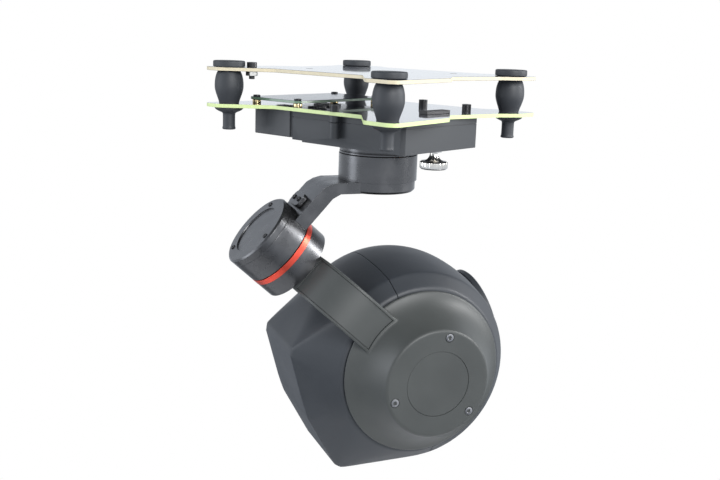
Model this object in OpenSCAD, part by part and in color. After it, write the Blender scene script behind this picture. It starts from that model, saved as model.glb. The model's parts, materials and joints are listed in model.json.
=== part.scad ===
// Three-axis camera gimbal: damped twin-plate base, yaw, roll and pitch motors, ball-shaped camera head.
// Origin: on the yaw axis, at the top face of the upper plate. +Y is the flight direction, +Z is up.

/* [Plates and dampers] */
// Spacing of the rubber dampers from side to side
damper_dx = 91; // [76:1:110]
// Spacing of the rubber dampers from rear to front
damper_dy = 84; // [70:1:101]
// Distance from the yaw axis back to the middle of the damper pattern
damper_back = 7.2; // [0:0.1:12]
// Thickness of each plate
plate_t = 1.6; // [1.2:0.1:3]
// Clear height between the two plates
plate_gap = 14.2; // [11.8:0.1:17.1]
// How far each plate reaches past its outer dampers
plate_reach = 9; // [8:0.5:12]
// Diameter of a damper's cap above the upper plate
cap_d = 14; // [11.6:0.2:17]
// Height of a damper's cap
cap_h = 2.7; // [2:0.1:3.5]
// Widest diameter of a damper's bulb
bulb_d = 12.7; // [11:0.1:15.3]
// Diameter of a damper's neck where it passes through a plate
neck_d = 8.6; // [7.2:0.1:10.4]
// Length of a damper's tail below the lower plate
tail_l = 9.9; // [8:0.1:12]

/* [Airframe mount] */
// Spacing of the airframe screw holes from side to side
mount_dx = 50; // [40:1:60]
// Spacing of the airframe screw holes from rear to front
mount_dy = 40; // [32:1:48]
// Diameter of the airframe screw holes
mount_hole_d = 3.2; // [2.2:0.1:4.3]

/* [Electronics case] */
// Width of the case from the yaw axis to its right wall
case_right = 43; // [36:0.5:52]
// Length of the case from the yaw axis to its rear wall
case_rear = 36; // [30:0.5:43]
// Height of the case below the lower plate
case_h = 13.2; // [11:0.1:16]
// Wall thickness of the case
case_wall = 1.8; // [1.4:0.1:2.4]
// How much shallower the side box is than the case
side_box_rise = 1.3; // [0.5:0.1:2.5]
// Length of the thumb screw below the case
thumb_l = 8.4; // [7:0.1:10]
// Diameter of the thumb screw's knurled wheel
thumb_d = 12; // [10:0.1:14.4]

/* [Motors] */
// Outer diameter of the yaw and roll motors, and of the hidden pitch motor
motor_d = 35.6; // [29.6:0.2:42.8]
// Height of the fixed flange over the yaw motor
yaw_flange_h = 5.6; // [4.8:0.1:7]
// Length of the yaw motor's turning bell
yaw_bell_l = 11.5; // [9.5:0.1:14]
// Length of the roll motor's turning bell, red ring included
roll_bell_l = 10.8; // [8.6:0.1:13]
// Width of the red ring on the roll motor's bell
red_ring_w = 2.7; // [2:0.1:4]
// Length of the roll motor's fixed housing
roll_housing_l = 10.6; // [9.8:0.1:13]
// Thickness of the roll motor's end cap
roll_cap_t = 3.5; // [2.8:0.1:4.2]
// Diameter of the motor shafts
shaft_d = 4; // [3.4:0.1:4.6]
// Outer diameter of the ball bearings
bearing_d = 8; // [7:0.1:8.4]

/* [Arms] */
// Thickness of the yaw arm under the yaw motor
yaw_arm_t = 5; // [4:0.1:6]
// Width of the yaw arm
yaw_arm_w = 23; // [19:0.5:27]
// Thickness of the yaw arm's sloping leg
leg_t = 7; // [5.8:0.1:8.4]
// Height from the arm's underside down to the top of the roll motor
leg_drop = 3; // [2.5:0.1:8]
// Slope of the roll axis below the horizontal, in degrees
roll_slope = 42; // [36:1:48]
// Width of the roll arm's strip
strip_w = 18.6; // [15.5:0.1:22.4]
// Thickness of the roll arm's strip
strip_t = 3.2; // [2.8:0.1:4]
// Outside bend radius of the roll arm's elbow
elbow_r = 22.5; // [20:0.5:25]

/* [Camera head] */
// Diameter of the round camera head
ball_d = 95; // [79:1:114]
// Distance from the yaw axis forward to the middle of the head
ball_fwd = 9; // [5:0.5:12]
// Wall thickness of the head's shells
shell_t = 2; // [1.6:0.1:2.4]
// How far the angular rear housing may sweep beyond the ball as the head pitches
swing_reach = 10.8; // [8:0.1:12.9]
// Half width of the angular rear housing
rear_half_w = 20; // [17:0.5:24]
// How far the head's flat motor side is cut in from the ball
side_cut = 10.1; // [8.5:0.1:12.1]
// How much smaller the crease round the motor side is than the ball
edge_drop = 4.1; // [3.4:0.1:4.9]
// How far the seam between the head's two shells lies behind the pitch axis
seam_back = 2.8; // [0:0.1:5]
// Outer diameter of the lens bezel
bezel_d = 44; // [37:1:53]
// How far the bezel's face is set back from the front of the ball
bezel_set = 0.5; // [-3:0.1:1.2]

/* [Motor cover on the head's side] */
// Diameter of the cover at its rim
cover_d = 73.4; // [62:0.2:75]
// Width of the flat top outside the cover's screws
cover_land = 2.9; // [2.4:0.1:3.5]
// Depth of the cover from its rim to its flat top
cover_h = 16.5; // [13.7:0.1:19.8]
// Diameter of the inset disc in the flat top
badge_d = 29; // [24:0.5:34]

/* [Pose at rest] */
// Turn of the gimbal about the yaw axis, in degrees
yaw_rest = -27.5; // [-180:0.5:180]
// Roll of the camera head, in degrees
roll_rest = 0; // [-45:0.5:45]
// Pitch of the camera above the horizontal, in degrees
pitch_rest = 16; // [-115:0.5:45]

/* [Clearances] */
// Gap between the motor cover's rim and the head
rim_gap = 0.7; // [0.4:0.1:1]
// Gap between the fixed and the turning parts of each motor
flange_gap = 0.3; // [0.2:0.05:0.6]
// Radial play of a shaft in its bearings
shaft_play = 0.05; // [0.03:0.01:0.08]
// Gap between the head's rear housing and the roll arm
swing_gap = 1.6; // [1.3:0.1:4]
// Radial gap between a damper's neck and the plates
neck_gap = 0.1; // [0.05:0.01:0.3]
// Gap left round inset covers
inset_gap = 0.15; // [0.1:0.05:0.3]

/* [Hidden] */
$fn = 72;
eps = 0.01;

charcoal = [0.22, 0.23, 0.24];
warm_grey = [0.30, 0.31, 0.30];
rubber = [0.24, 0.26, 0.29];
steel = [0.72, 0.73, 0.75];
copper = [0.72, 0.42, 0.20];
board_green = [0.16, 0.30, 0.20];

// Heights of the base, measured from the top face of the upper plate
damper_x = damper_dx / 2;
rear_y = -damper_back - damper_dy / 2;
front_y = -damper_back + damper_dy / 2;
lower_z = -plate_t - plate_gap;
case_top_z = lower_z - plate_t;
case_bottom_z = case_top_z - case_h;
case_front = 14;
nose_front = 30;
nose_right = case_right - 13;
split_x = -19;
side_box_left = case_right;
case_floor = 2;
corner_r = 1.5;

// Damper bulb's swelling: part of the way down, part of the full swell
bulb_shape = [
    [0, 0.34], [0.1, 0.64], [0.2, 0.83], [0.3, 0.95], [0.45, 1], [0.55, 0.96], [0.65, 0.8],
    [0.75, 0.58], [0.85, 0.34], [0.93, 0.15], [1, 0],
];

// Case screws: three through the plate and one in a lug on the rear wall
case_screw_d = 2;
case_head_d = 4;
case_head_h = 2.8;
case_boss_d = 4.4;
lug_y = -case_rear - 2.4;
case_screw_xy = [[8, lug_y], [5, 25], [case_right - 11, 21.5], [-14, 25]];
case_boss_l = 9.5;
plate_rear_y = -case_rear - 3.5;
case_screw_l = 8;

// Small board above the lower plate
signal_w = 31;
signal_l = 56;
signal_x = -27.5;
signal_y = -12;
signal_t = 1.2;
signal_lift = 1.8;
signal_hole_in = 2.6;
signal_screw_d = 1.6;
signal_head_d = 3.2;

// Safety screw beside the rear left damper
safety_xy = [-damper_x + cap_d / 2 + 0.5, rear_y + 6.5];
safety_d = 2.5;

// Thumb screw under the case
thumb_xy = [36, -6];
thumb_shank_d = 4;
thumb_neck_d = 3.6;
thumb_wheel_h = 3.4;
thumb_collar_h = 1.2;

// Inside of the three motors, along an axis that starts at the running gap and points into the bell
motor_r = motor_d / 2;
bell_wall = 1.6;
bell_in_r = motor_r - bell_wall;
magnet_t = 1.5;
magnet_count = 14;
magnet_z = 1.2;
air_gap = 0.45;
tooth_count = 12;
tooth_w = 2.4;
stator_z = 1.7;
coil_h = 0.8;
coil_room = 1.8;
stator_r = bell_in_r - magnet_t - air_gap - 0.3;
tube_r = bearing_d / 2 + 1;
tube_room = 0.5;
bearing_w = 2.5;
bearing_seat = 2;
hub_clear = 0.4;
shaft_r = shaft_d / 2;
shaft_tail = 2.6;

// Lengths inside a motor whose bell ends at a given height
function stator_h(end) = end - bell_wall - coil_room - coil_h - stator_z;
function magnet_h(end) = stator_h(end) + 1;
function tube_end(end) = end - bell_wall - tube_room;

// Yaw stage
yaw_gap_z = case_bottom_z - yaw_flange_h;
yaw_bell_end = flange_gap + yaw_bell_l;
arm_top_z = yaw_gap_z - yaw_bell_end;
arm_bottom_z = arm_top_z - yaw_arm_t;
flange_r = motor_r - 0.2;
arm_disc_r = motor_r - 0.7;

// Distances up the roll axis from the middle of the head
ball_r = ball_d / 2;
swing_r = ball_r + swing_reach;
strip_top_l = swing_r + swing_gap + strip_t;
roll_bell_end = flange_gap + roll_bell_l;
roll_gap_l = strip_top_l + roll_bell_end;
roll_cap_l = roll_gap_l + roll_housing_l;
roll_top_l = roll_cap_l + roll_cap_t;
ball_z = arm_bottom_z - leg_drop - sin(roll_slope) * roll_top_l - cos(roll_slope) * motor_r;
leg_in_l = roll_gap_l + 0.4;
leg_out_l = leg_in_l + leg_t;
housing_wall = 1.8;
cable_cover_y = motor_r + 4.4;
cable_cover_t = 2;

// Distances along the pitch axis from the middle of the head, and the radii of its motor side
side_s = ball_r - side_cut;
edge_s = side_s - 6.4;
edge_r = ball_r - edge_drop;
side_r = edge_r - 5.8;
rim_s = side_s + rim_gap;
cover_top_s = rim_s + cover_h;
cover_wall = 2;
pitch_base_t = 3.2;
pitch_gap_s = cover_top_s - cover_wall - pitch_base_t;
pitch_bell_l = pitch_gap_s - flange_gap - side_s - 1.2;
pitch_bell_end = pitch_bell_l + flange_gap;
bell_room = 1.6;
cover_screw_r = motor_r + bell_room + 1.3;
cover_top_r = cover_screw_r + cover_land;
cover_screw_turn = 0;

// Roll arm's strip: an elbow round the head, in the plane of the roll and pitch axes
elbow_l = strip_top_l - elbow_r;
elbow_s = rim_s + 5.4 - elbow_r;
strip_end_l = 31.3;
lip_w = 1.2;
strip_pocket = 1.1;
strip_cover_t = 0.8;

// Lens
bezel_y = ball_r - bezel_set;
tube_start_y = bezel_y - 16.5;
lens_end_y = bezel_y - 7.5;
frame_r = side_r - 3.7;

// Rear housing's outline round a ball of a given radius, lens axis forward and head upright
outline_ball_r = 47.5;
housing_grow = ball_r - outline_ball_r;
rear_outline = [
    [0.55, 35.9], [-46.4, 25.92], [-49.91, 24.15], [-51.24, 20.8], [-50.4, 15.87], [-50.81, 9.14],
    [-51.46, -2.25], [-51.06, -10.85], [-44.86, -37.14], [-42.47, -39.7], [14.06, -27.68],
];

// Turns the base frame to the yaw stage's own frame
module yaw_stage() {
    rotate([0, 0, yaw_rest]) children();
}

// Frame at the middle of the head: Z up the roll axis to the roll motor, X along the pitch axis
module roll_base() {
    yaw_stage() translate([0, ball_fwd, ball_z]) rotate([90 - roll_slope, 0, 0]) children();
}

module roll_stage() {
    roll_base() rotate([0, 0, roll_rest]) children();
}

// Frame of the head itself: Y along the lens axis
module head_stage() {
    roll_stage() rotate([pitch_rest - 90 + roll_slope, 0, 0]) children();
}

// Frames of the motors' insides
module yaw_motor_axis() {
    translate([0, 0, yaw_gap_z]) rotate([180, 0, 0]) children();
}

module roll_motor_axis() {
    translate([0, 0, roll_gap_l]) rotate([180, 0, 0]) children();
}

module pitch_motor_axis() {
    translate([pitch_gap_s, 0, 0]) rotate([0, -90, 0]) children();
}

module ring(outer_r, inner_r, h) {
    difference() {
        cylinder(r = outer_r, h = h);
        translate([0, 0, -1]) cylinder(r = inner_r, h = h + 2);
    }
}

module around(count, r) {
    for (i = [0 : count - 1]) rotate([0, 0, i * 360 / count]) translate([r, 0, 0]) children();
}

// Places of the four screws that hold the yaw flange under the case
module flange_screws() {
    rotate([0, 0, 45]) around(4, 12) children();
}

module socket_screw(shank_d, shank_l, head_d, head_h) {
    difference() {
        union() {
            cylinder(d = head_d, h = head_h, $fn = 24);
            translate([0, 0, -shank_l]) cylinder(d = shank_d, h = shank_l + eps, $fn = 24);
        }
        translate([0, 0, head_h * 0.45]) cylinder(d = head_d * 0.5, h = head_h, $fn = 6);
    }
}

// Outline that both plates share: lobes round the dampers, cut back between them
module plate_outline() {
    x = damper_x;
    out = plate_reach;
    offset(r = -2.5) offset(delta = 2.5) offset(r = 4) offset(delta = -4) polygon([
        [-x - out, rear_y - out + 1.5], [-x + 1, rear_y - out + 1.5], [-x + 18.5, plate_rear_y],
        [x - 21.8, plate_rear_y], [x - 5.8, rear_y - out + 1.6], [x + out + 1, rear_y - out + 0.5],
        [x + 5.4, rear_y + 32.5], [x - 1.8, rear_y + 42.5], [x + 3.5, front_y - 14],
        [x + out, front_y - 4], [x + out, front_y + out], [x - 9, front_y + out], [x - 17, front_y + 3],
        [-x + 17, front_y + 3], [-x + 9, front_y + out], [-x - out, front_y + out],
        [-x - out, front_y - 4], [-x - 3.5, front_y - 14], [-x + 1.8, rear_y + 42.5],
        [-x - 5.4, rear_y + 32.5],
    ]);
}

module at_dampers() {
    for (x = [-damper_x, damper_x], y = [rear_y, front_y]) translate([x, y, 0]) children();
}

module upper_plate() {
    color([0.78, 0.79, 0.84]) difference() {
        translate([0, 0, -plate_t]) linear_extrude(plate_t) plate_outline();
        at_dampers() translate([0, 0, -plate_t - 1]) cylinder(d = neck_d + 2 * neck_gap, h = plate_t + 2);
        for (x = [-mount_dx / 2, mount_dx / 2], y = [-mount_dy / 2, mount_dy / 2])
            translate([x, y, -plate_t - 1]) cylinder(d = mount_hole_d, h = plate_t + 2);
        translate([safety_xy[0], safety_xy[1], -plate_t - 1]) cylinder(d = safety_d, h = plate_t + 2);
    }
}

// One rubber damper, turned round its own axis: cap, neck, bulb, neck, flange and tail
module damper(side, end) {
    neck_r = neck_d / 2;
    low = lower_z - plate_t - neck_gap;
    bulb_top = -plate_t - neck_gap;
    bulb_low = lower_z + neck_gap;
    swell = bulb_d / 2 - neck_r;
    color(rubber) translate([side * damper_x, end, 0]) rotate_extrude() polygon(concat(
        [[0, cap_h], [cap_d / 2 - 0.5, cap_h], [cap_d / 2, cap_h - 0.5], [cap_d / 2, neck_gap],
         [neck_r, neck_gap], [neck_r, bulb_top]],
        [for (p = bulb_shape) [neck_r + swell * p[1], bulb_top + (bulb_low - bulb_top) * p[0]]],
        [[neck_r, low], [cap_d / 2 - 0.7, low], [cap_d / 2 - 0.9, low - 0.8],
         [2.7, low - 2.4], [2.7, low - tail_l + 1.2], [2.95, low - tail_l + 0.8],
         [2.6, low - tail_l], [0, low - tail_l]]
    ));
}

module damper_rear_left() { damper(-1, rear_y); }
module damper_rear_right() { damper(1, rear_y); }
module damper_front_left() { damper(-1, front_y); }
module damper_front_right() { damper(1, front_y); }

module safety_screw() {
    color([0.15, 0.15, 0.16]) translate([safety_xy[0], safety_xy[1], 0])
        socket_screw(safety_d, plate_t + 3.4, 4.4, 2.3);
}

module safety_nut() {
    color(steel) translate([safety_xy[0], safety_xy[1], -plate_t - 2]) difference() {
        cylinder(d = 5.5, h = 2, $fn = 6);
        translate([0, 0, -1]) cylinder(d = safety_d, h = 4);
    }
}

module lower_plate() {
    color([0.74, 0.76, 0.82]) difference() {
        translate([0, 0, lower_z - plate_t]) linear_extrude(plate_t) plate_outline();
        at_dampers() translate([0, 0, lower_z - plate_t - 1])
            cylinder(d = neck_d + 2 * neck_gap, h = plate_t + 2);
        for (p = case_screw_xy) translate([p[0], p[1], lower_z - plate_t - 1])
            cylinder(d = case_screw_d, h = plate_t + 2);
        for (x = [-1, 1], y = [-1, 1]) translate([0, 0, lower_z - plate_t - 1])
            signal_corner(x, y) cylinder(d = signal_screw_d, h = plate_t + 2);
    }
}

module case_outline() {
    polygon([
        [split_x, -case_rear], [case_right - corner_r, -case_rear], [case_right, -case_rear + corner_r],
        [case_right, case_front], [nose_right, nose_front], [split_x, nose_front],
    ]);
}

module electronics_case() {
    inner_x = case_right - case_wall;
    inner_y = case_rear - case_wall;
    color(charcoal) difference() {
        union() {
            difference() {
                translate([0, 0, case_bottom_z]) linear_extrude(case_h) case_outline();
                translate([0, 0, case_bottom_z + case_floor]) linear_extrude(case_h) polygon([
                    [split_x + case_wall, -inner_y], [inner_x, -inner_y],
                    [inner_x, case_front - 0.8], [nose_right - 0.8, nose_front - case_wall],
                    [split_x + case_wall, nose_front - case_wall],
                ]);
            }
            for (p = case_screw_xy) translate([p[0], p[1], case_top_z - case_boss_l])
                cylinder(d = case_boss_d, h = case_boss_l);
            // web that joins the lug's boss to the rear wall
            translate([case_screw_xy[0][0] - 1.5, lug_y, case_top_z - case_boss_l])
                cube([3, -case_rear - lug_y + 1, case_boss_l]);
            // webs that join the front bosses to the front wall
            for (i = [1, 3])
                translate([case_screw_xy[i][0] - 0.8, case_screw_xy[i][1], case_top_z - case_boss_l])
                    cube([1.6, nose_front - case_screw_xy[i][1] - 1, case_boss_l]);
            translate([case_screw_xy[2][0], case_screw_xy[2][1], case_top_z - case_boss_l])
                rotate([0, 0, 38]) translate([0, -0.8, 0]) cube([3, 1.6, case_boss_l]);
            translate([thumb_xy[0], thumb_xy[1], case_bottom_z])
                cylinder(d = thumb_shank_d + 4, h = case_h - 4);
        }
        for (p = case_screw_xy) translate([p[0], p[1], case_top_z - case_screw_l])
            cylinder(d = case_screw_d, h = case_screw_l + 1);
        translate([thumb_xy[0], thumb_xy[1], case_bottom_z - 1])
            cylinder(d = thumb_shank_d + 2 * shaft_play, h = case_h - 4);
        translate([0, 0, case_bottom_z - 1]) cylinder(r = bearing_d / 2, h = case_floor + 2);
        translate([0, 0, case_bottom_z - 1]) flange_screws() cylinder(d = case_screw_d, h = case_floor + 2);
        // shallow step along the rear left of the bottom
        translate([split_x - 1, -case_rear - 1, case_bottom_z - 1]) cube([7, case_rear + 12, 1.6]);
    }
}

module side_box() {
    low = case_bottom_z + side_box_rise;
    tall = case_h - side_box_rise;
    width = side_box_left + split_x;
    depth = case_rear + case_front;
    color(charcoal) difference() {
        translate([-side_box_left, -case_rear, low]) cube([width, depth, tall]);
        translate([-side_box_left + case_wall, -case_rear + case_wall, low + case_floor])
            cube([width - 2 * case_wall, depth - 2 * case_wall, tall]);
        // groove beside the joint with the case
        translate([split_x - 1.6, -case_rear - 1, low - 1]) cube([0.8, 1.8, tall + 2]);
    }
}

module case_screws() {
    color([0.13, 0.13, 0.14]) for (p = case_screw_xy) translate([p[0], p[1], lower_z])
        socket_screw(case_screw_d, plate_t + case_screw_l - 1, case_head_d, case_head_h);
}

module controller_board() {
    color(board_green) translate([-14, -30, case_bottom_z + case_floor]) union() {
        translate([0, 0, 4]) cube([42, 50, 1.2]);
        for (x = [3, 39], y = [3, 47]) translate([x, y, 0]) cylinder(r = 1.6, h = 4 + eps, $fn = 24);
    }
}

module controller_parts() {
    color([0.12, 0.12, 0.13]) translate([-14, -30, case_bottom_z + case_floor + 5.2]) {
        translate([14, 8, 0]) cube([9, 9, 1.1]);
        translate([27, 30, 0]) cube([7, 7, 1.1]);
        translate([6, 28, 0]) cube([6, 5, 1.4]);
        for (i = [0 : 3]) translate([6 + i * 5, 41, 0]) cylinder(r = 1.6, h = 3, $fn = 24);
        translate([2, 14, 0]) cube([5, 9, 3]);
    }
}

module signal_corner(x, y) {
    translate([signal_x + x * (signal_w / 2 - signal_hole_in),
               signal_y + y * (signal_l / 2 - signal_hole_in), 0]) children();
}

module signal_board() {
    color([0.17, 0.21, 0.20]) difference() {
        translate([signal_x, signal_y, lower_z + signal_lift]) linear_extrude(signal_t)
            offset(r = 2.5, $fn = 24) square([signal_w - 5, signal_l - 5], center = true);
        for (x = [-1, 1], y = [-1, 1]) signal_corner(x, y)
            translate([0, 0, lower_z]) cylinder(d = signal_screw_d, h = 10);
    }
}

module signal_board_spacers() {
    color([0.80, 0.68, 0.42]) for (x = [-1, 1], y = [-1, 1]) signal_corner(x, y)
        translate([0, 0, lower_z]) ring(1.9, signal_screw_d / 2, signal_lift, $fn = 24);
}

module signal_board_screws() {
    color([0.16, 0.16, 0.17]) for (x = [-1, 1], y = [-1, 1]) signal_corner(x, y)
        translate([0, 0, lower_z + signal_lift + signal_t])
            socket_screw(signal_screw_d, signal_lift + signal_t + plate_t, signal_head_d, 0.7);
}

module signal_board_chips() {
    color([0.10, 0.10, 0.11]) translate([signal_x, signal_y, lower_z + signal_lift - 1]) {
        translate([-8, 6, 0]) cube([9, 9, 1]);
        translate([-10, -16, 0]) cube([7, 5, 1]);
        translate([2, -8, 0]) cube([6, 6, 1]);
    }
}

module plate_connector() {
    color([0.10, 0.10, 0.11]) translate([33, -14, lower_z]) difference() {
        cube([4.4, 16, 1.4]);
        for (i = [0 : 4]) translate([1.2, 1.6 + i * 2.8, 0.7]) cube([2, 1.6, 2]);
    }
}

// Captive thumb screw: shank in the case, collar, waisted neck and knurled wheel
module thumb_screw() {
    low = case_bottom_z - thumb_l;
    wheel_r = thumb_d / 2;
    color(steel) translate([thumb_xy[0], thumb_xy[1], 0]) difference() {
        rotate_extrude() polygon(concat(
            [[0, low], [wheel_r - 0.6, low], [wheel_r, low + 0.6], [wheel_r, low + thumb_wheel_h - 0.5],
             [wheel_r - 0.8, low + thumb_wheel_h]],
            [for (i = [0 : 6]) let (t = i * 15)
                [wheel_r - 1.2 - (wheel_r - 1.2 - thumb_neck_d / 2) * sin(t),
                 low + thumb_wheel_h + (thumb_l - thumb_wheel_h - thumb_collar_h - 0.6) * (1 - cos(t))]],
            [[thumb_neck_d / 2, case_bottom_z - thumb_collar_h - 0.3],
             [3.2, case_bottom_z - thumb_collar_h], [3.2, case_bottom_z - 0.2],
             [thumb_shank_d / 2, case_bottom_z - 0.2], [thumb_shank_d / 2, case_bottom_z + case_h - 6],
             [0, case_bottom_z + case_h - 6]]
        ));
        translate([0, 0, low - 0.5]) around(30, wheel_r + 0.25)
            cylinder(r = 0.45, h = thumb_wheel_h + 1, $fn = 8);
    }
}

// Star-shaped iron core pressed on the bearing tube, in a motor whose bell ends at the given height
module motor_stator(end) {
    tall = stator_h(end);
    translate([0, 0, stator_z]) {
        difference() {
            union() {
                cylinder(r = tube_r + 2.6, h = tall);
                around(tooth_count, tube_r + 2)
                    translate([0, -tooth_w / 2, 0]) cube([stator_r - tube_r - 2.4, tooth_w, tall]);
                around(tooth_count, stator_r - 1)
                    translate([0, -2.6, 0]) cube([0.8, 5.2, tall]);
            }
            translate([0, 0, -1]) cylinder(r = tube_r, h = tall + 2);
        }
    }
}

// One coil round each tooth of the stator
module motor_windings(end) {
    inner = tube_r + 3.4;
    tall = stator_h(end);
    color(copper) translate([0, 0, stator_z - coil_h]) around(tooth_count, inner) difference() {
        translate([0, -1.9, 0]) cube([stator_r - 1.5 - inner, 3.8, tall + 2 * coil_h]);
        translate([-1, -tooth_w / 2, coil_h]) cube([stator_r, tooth_w, tall]);
    }
}

module motor_bearings(end) {
    color(steel) for (z = [-bearing_seat, tube_end(end) - bearing_w - 0.2]) translate([0, 0, z])
        ring(bearing_d / 2, shaft_r + shaft_play, bearing_w);
}

module motor_magnets(end) {
    flat = bell_in_r - magnet_t - 0.3;
    color([0.55, 0.56, 0.58]) translate([0, 0, magnet_z]) intersection() {
        around(magnet_count, flat) translate([0, -2.7, 0]) cube([magnet_t + 2, 5.4, magnet_h(end)]);
        cylinder(r = bell_in_r, h = magnet_h(end));
    }
}

// Turning cup that carries the magnets and holds the shaft
module motor_bell(gap, length) {
    end = gap + length;
    difference() {
        union() {
            difference() {
                translate([0, 0, gap]) cylinder(r = motor_r, h = length);
                translate([0, 0, gap - 1]) cylinder(r = bell_in_r, h = length - bell_wall + 1);
            }
            translate([0, 0, tube_end(end) + hub_clear])
                cylinder(r = shaft_r + 1.5, h = end - tube_end(end) - hub_clear - eps);
        }
        translate([0, 0, gap - 1]) cylinder(r = shaft_r, h = length + 2);
    }
}

module motor_shaft(end) {
    color(steel) translate([0, 0, -shaft_tail]) cylinder(r = shaft_r, h = end + shaft_tail);
}

// Fixed disc with the tube that seats both bearings, its back face at z = -back
module motor_base(r, back, end) {
    difference() {
        union() {
            translate([0, 0, -back]) cylinder(r = r, h = back);
            cylinder(r = tube_r, h = tube_end(end));
        }
        translate([0, 0, -bearing_seat]) cylinder(r = bearing_d / 2, h = tube_end(end) + bearing_seat + 1);
        translate([0, 0, -back - 1]) cylinder(r = shaft_r + 0.5, h = back + 1);
    }
}

module yaw_flange() {
    color(charcoal) yaw_motor_axis() difference() {
        motor_base(flange_r, yaw_flange_h, yaw_bell_end);
        translate([0, 0, -yaw_flange_h - 1]) flange_screws() cylinder(d = case_screw_d, h = 4.5);
        translate([0, 0, -1.4]) difference() {
            cylinder(r = flange_r + 1, h = 0.5);
            translate([0, 0, -1]) cylinder(r = flange_r - 0.5, h = 3);
        }
    }
}

module yaw_flange_screws() {
    color([0.13, 0.13, 0.14]) translate([0, 0, case_bottom_z + case_floor]) flange_screws()
        socket_screw(case_screw_d, case_floor + 3.5, case_head_d, 1.6);
}

module yaw_stator() { color(steel) yaw_motor_axis() motor_stator(yaw_bell_end); }
module yaw_windings() { yaw_motor_axis() motor_windings(yaw_bell_end); }
module yaw_bearings() { yaw_motor_axis() motor_bearings(yaw_bell_end); }
module yaw_bell() { color(charcoal) yaw_stage() yaw_motor_axis() motor_bell(flange_gap, yaw_bell_l); }
module yaw_magnets() { yaw_stage() yaw_motor_axis() motor_magnets(yaw_bell_end); }
module yaw_shaft() { yaw_stage() yaw_motor_axis() motor_shaft(yaw_bell_end); }

// Where a line at a given distance up the roll axis meets a given height, in the yaw stage's frame
function leg_y(l, z) =
    ball_fwd - cos(roll_slope) * l + tan(roll_slope) * (z - ball_z - sin(roll_slope) * l);

// The same line where it reaches the roll motor's axis
function leg_foot(l) = [ball_fwd - cos(roll_slope) * l, ball_z + sin(roll_slope) * l];

// Yaw arm: a disc under the yaw motor, a flat arm and a leg that slopes down to the roll motor
module yaw_arm() {
    knee_out = leg_y(leg_out_l, arm_top_z);
    knee_in = leg_y(leg_in_l, arm_bottom_z);
    color(charcoal) difference() {
        union() {
            yaw_stage() translate([0, 0, arm_bottom_z]) {
                cylinder(r1 = arm_disc_r - 1, r2 = arm_disc_r, h = 1);
                translate([0, 0, 1]) cylinder(r = arm_disc_r, h = yaw_arm_t - 1);
            }
            yaw_stage() translate([yaw_arm_w / 2, 0, 0]) rotate([90, 0, -90])
                linear_extrude(yaw_arm_w) polygon([
                    [0, arm_top_z], [-knee_out - 5, arm_top_z],
                    [-knee_out - 1.5, arm_top_z - 0.9], [-knee_out + 1.6, arm_top_z - 2.6],
                    [-leg_foot(leg_out_l)[0], leg_foot(leg_out_l)[1]],
                    [-leg_foot(leg_in_l)[0], leg_foot(leg_in_l)[1]],
                    [-knee_in + 1.6, arm_bottom_z - 1.9], [-knee_in - 2, arm_bottom_z],
                    [0, arm_bottom_z],
                ]);
        }
        roll_base() cylinder(r = motor_r, h = roll_top_l + 20);
    }
}

// Raised cover over the cable hole in the leg, its corners rounded
module arm_cable_cover() {
    color(charcoal) roll_base() difference() {
        translate([0, cable_cover_y, leg_out_l]) linear_extrude(cable_cover_t)
            offset(r = 1.8, $fn = 32) square([8, 3], center = true);
        cable_cover_places() cylinder(d = 1.6, h = 5, center = true, $fn = 24);
    }
}

module cable_cover_places() {
    for (x = [-3, 3]) translate([x, cable_cover_y, leg_out_l + cable_cover_t]) children();
}

module arm_cable_cover_screws() {
    color([0.15, 0.15, 0.16]) roll_base() cable_cover_places()
        socket_screw(1.6, cable_cover_t - 0.3, 2.4, 0.6);
}

module roll_motor_housing() {
    color(charcoal) roll_base() roll_motor_axis() union() {
        motor_base(motor_r - housing_wall + eps, 3.4, roll_bell_end);
        translate([0, 0, -roll_housing_l]) ring(motor_r, motor_r - housing_wall, roll_housing_l);
    }
}

module roll_motor_cap() {
    color(charcoal) roll_base() translate([0, 0, roll_cap_l]) difference() {
        union() {
            cylinder(r = motor_r, h = roll_cap_t - 0.8);
            translate([0, 0, roll_cap_t - 0.8]) cylinder(r1 = motor_r, r2 = motor_r - 0.8, h = 0.8);
        }
        translate([0, 0, roll_cap_t - 0.6]) cylinder(r = 12, h = 1);
        translate([0, 0, -1]) cylinder(r = motor_r - housing_wall - 3, h = 1 + roll_cap_t - 1.8);
        translate([0, 0, -1]) around(3, 14.5) cylinder(d = 1.6, h = roll_cap_t + 2, $fn = 24);
    }
}

module roll_cap_screws() {
    color([0.16, 0.16, 0.17]) roll_base() translate([0, 0, roll_top_l]) around(3, 14.5)
        socket_screw(1.6, roll_cap_t, 2.2, 0.4);
}

module roll_stator() { color(steel) roll_base() roll_motor_axis() motor_stator(roll_bell_end); }
module roll_windings() { roll_base() roll_motor_axis() motor_windings(roll_bell_end); }
module roll_bearings() { roll_base() roll_motor_axis() motor_bearings(roll_bell_end); }
module roll_magnets() { roll_stage() roll_motor_axis() motor_magnets(roll_bell_end); }
module roll_shaft() { roll_stage() roll_motor_axis() motor_shaft(roll_bell_end); }

module roll_bell() {
    color(charcoal) roll_stage() roll_motor_axis() difference() {
        motor_bell(flange_gap, roll_bell_l);
        translate([0, 0, flange_gap - 1]) ring(motor_r + 1, motor_r - 0.8, red_ring_w + 1);
    }
}

module roll_red_ring() {
    color([0.80, 0.16, 0.13]) roll_stage() roll_motor_axis()
        translate([0, 0, flange_gap]) ring(motor_r + 0.05, motor_r - 0.8, red_ring_w);
}

// Cover's flare, from its rim in to its flat top, as a curve between three control points
function flare(t) =
    let (a = [cover_d / 2 - 0.6, rim_s + 1], b = [cover_top_r + 5.6, rim_s + 3.8],
         c = [cover_top_r + 0.4, cover_top_s - 0.6])
    (1 - t) * (1 - t) * a + 2 * t * (1 - t) * b + t * t * c;

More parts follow.
